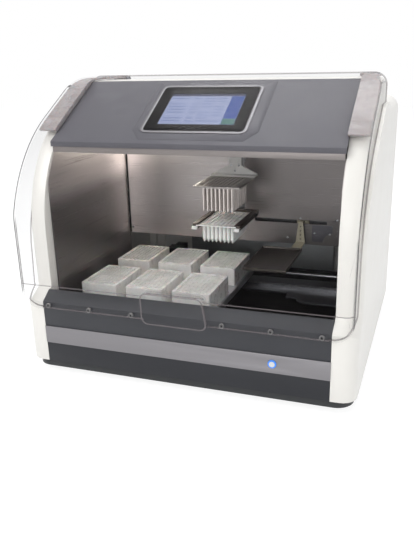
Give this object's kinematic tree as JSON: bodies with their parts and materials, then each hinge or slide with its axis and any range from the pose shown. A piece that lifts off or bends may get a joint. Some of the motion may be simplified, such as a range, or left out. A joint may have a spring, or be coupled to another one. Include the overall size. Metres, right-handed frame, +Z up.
{
  "type": "nucleic acid extractor",
  "caption": "Bench-top nucleic acid extractor with a clear lifting hood, a sloped touch screen and a plate stage that moves under a magnetic rod head.",
  "frame": {"origin": "centre of the footprint on the bench surface, under the feet", "axes": "+X to the user's right, +Y from the front to the rear panel, +Z up"},
  "size_m": [0.68, 0.6668, 0.59],
  "materials": {
    "plinth": "matt dark grey powder coat",
    "rubber": "matt black rubber",
    "white_shell": "satin warm white moulding",
    "rear_paint": "fine textured off-white paint",
    "grey_panel": "satin mid grey paint",
    "bezel_metal": "satin silver frame",
    "black_glass": "polished black cover glass",
    "display": "lit display",
    "charcoal": "satin charcoal paint",
    "strip_metal": "brushed silver strip",
    "button_metal": "satin steel button",
    "ring_light": "lit blue ring",
    "stainless": "brushed stainless sheet",
    "lamp": "lit white strip lamp",
    "anodised": "dark anodised aluminium",
    "deck_black": "matt black paint",
    "rail_steel": "ground steel",
    "motor_black": "black motor body",
    "clear_anodised": "clear anodised aluminium",
    "well_plastic": "translucent white polypropylene",
    "holder_brown": "dark brown anodised aluminium",
    "comb_plastic": "translucent polypropylene",
    "white_paint": "satin white paint",
    "rod_plate_metal": "grey anodised plate",
    "magnet_nickel": "nickel plated rods",
    "drip_black": "dark grey coated tray",
    "pale_bracket": "pale plated bracket",
    "hood_clear": "clear moulded polycarbonate",
    "pad_frosted": "frosted ribbed plastic",
    "fan_black": "black moulded plastic",
    "switch_black": "glossy black rocker",
    "zinc_sheet": "zinc plated sheet"
  },
  "bodies": {
    "chassis": {"base_pan": "plinth", "feet": "rubber", "left_housing": "white_shell", "right_housing": "white_shell", "top_cover": "white_shell", "rear_panel": "rear_paint", "slope_panel": "grey_panel", "screen_bezel": "bezel_metal", "screen_glass": "black_glass", "display_module": "display", "sill_panel": "charcoal", "trim_strip": "strip_metal", "lower_panel": "charcoal", "button_ring": "ring_light", "hood_bumpers": "rubber", "left_wall": "stainless", "right_wall": "stainless", "back_wall": "stainless", "ceiling_panel": "stainless", "chamber_lamp": "lamp", "slot_cover": "anodised", "deck": "deck_black", "y_rails": "rail_steel", "y_motor": "motor_black", "lift_mast": "clear_anodised", "lift_motor": "motor_black", "drip_rail": "rail_steel", "hinge_blocks": "anodised", "hinge_pins": "rail_steel", "fan_frame": "fan_black", "mains_inlet": "fan_black", "control_unit": "zinc_sheet"},
    "hood_body": {"hood": "hood_clear", "hood_arms": "pad_frosted"},
    "button_body": {"power_button": "button_metal"},
    "fan_body": {"fan_rotor": "fan_black"},
    "switch_body": {"mains_switch": "switch_black"},
    "y_stage": {"y_carriage": "anodised", "x_rails": "rail_steel", "x_motor": "motor_black"},
    "y_drive": {"y_screw": "rail_steel"},
    "x_stage": {"plate_tray": "clear_anodised", "deep_well_plate_1": "well_plastic", "deep_well_plate_2": "well_plastic", "deep_well_plate_3": "well_plastic", "deep_well_plate_4": "well_plastic", "deep_well_plate_5": "well_plastic", "deep_well_plate_6": "well_plastic"},
    "x_drive": {"x_screw": "rail_steel"},
    "comb_lift_body": {"comb_carriage": "clear_anodised", "comb_holder": "holder_brown", "rod_motor": "motor_black"},
    "lift_drive": {"lift_screw": "rail_steel"},
    "comb_body": {"tip_comb": "comb_plastic"},
    "rod_lift_body": {"rod_carriage": "white_paint", "rod_plate": "rod_plate_metal", "magnet_rods": "magnet_nickel"},
    "rod_drive": {"rod_screw": "rail_steel"},
    "drip_body": {"drip_tray": "drip_black", "drip_carriage": "pale_bracket"}
  },
  "joints": [
    {"name": "hood_hinge", "type": "hinge", "parent": "chassis", "child": "hood_body", "pos_m": [0, 0.1135, 0.575], "axis": [-1, 0, 0], "range_deg": [0, 65]},
    {"name": "y_slide", "type": "slide", "parent": "chassis", "child": "y_stage", "axis": [0, 1, 0], "range_m": [-0.078, 0.085]},
    {"name": "x_slide", "type": "slide", "parent": "y_stage", "child": "x_stage", "axis": [1, 0, 0], "range_m": [0, 0.24]},
    {"name": "comb_lift", "type": "slide", "parent": "chassis", "child": "comb_lift_body", "axis": [0, 0, 1], "range_m": [-0.072, 0]},
    {"name": "rod_lift", "type": "slide", "parent": "comb_lift_body", "child": "rod_lift_body", "axis": [0, 0, 1], "range_m": [-0.06, 0]},
    {"name": "comb_pull", "type": "slide", "parent": "comb_lift_body", "child": "comb_body", "axis": [0, -1, 0], "range_m": [0, 0.12]},
    {"name": "drip_slide", "type": "slide", "parent": "chassis", "child": "drip_body", "axis": [-1, 0, 0], "range_m": [0, 0.105]},
    {"name": "power_push", "type": "slide", "parent": "chassis", "child": "button_body", "axis": [0, 1, 0], "range_m": [0, 0.0012], "stiffness_N_per_m": 500, "springref_m": -0.0006},
    {"name": "mains_rocker", "type": "hinge", "parent": "chassis", "child": "switch_body", "pos_m": [-0.24, 0.3275, 0.1005], "axis": [1, 0, 0], "range_deg": [-8, 8]},
    {"name": "fan_spin", "type": "hinge", "parent": "chassis", "child": "fan_body", "pos_m": [0.19, 0.308, 0.4], "axis": [0, 1, 0], "continuous": true},
    {"name": "y_screw_turn", "type": "hinge", "parent": "chassis", "child": "y_drive", "pos_m": [-0.238, -0.0055, 0.082], "axis": [0, 1, 0], "range_deg": [-3600, 3900]},
    {"name": "x_screw_turn", "type": "hinge", "parent": "y_stage", "child": "x_drive", "pos_m": [0, 0.1325, 0.115], "axis": [1, 0, 0], "range_deg": [-10, 10810]},
    {"name": "lift_screw_turn", "type": "hinge", "parent": "chassis", "child": "lift_drive", "pos_m": [0.061, 0.0575, 0.48], "axis": [0, 0, 1], "range_deg": [-3250, 10]},
    {"name": "rod_screw_turn", "type": "hinge", "parent": "comb_lift_body", "child": "rod_drive", "pos_m": [-0.031, 0.0385, 0.48], "axis": [0, 0, 1], "range_deg": [-2710, 10]}
  ],
  "couplings": [
    {"joint": "y_screw_turn", "follows": "y_slide", "rad_per_m": 785.4},
    {"joint": "x_screw_turn", "follows": "x_slide", "rad_per_m": 785.4},
    {"joint": "lift_screw_turn", "follows": "comb_lift", "rad_per_m": 785.4},
    {"joint": "rod_screw_turn", "follows": "rod_lift", "rad_per_m": 785.4}
  ]
}
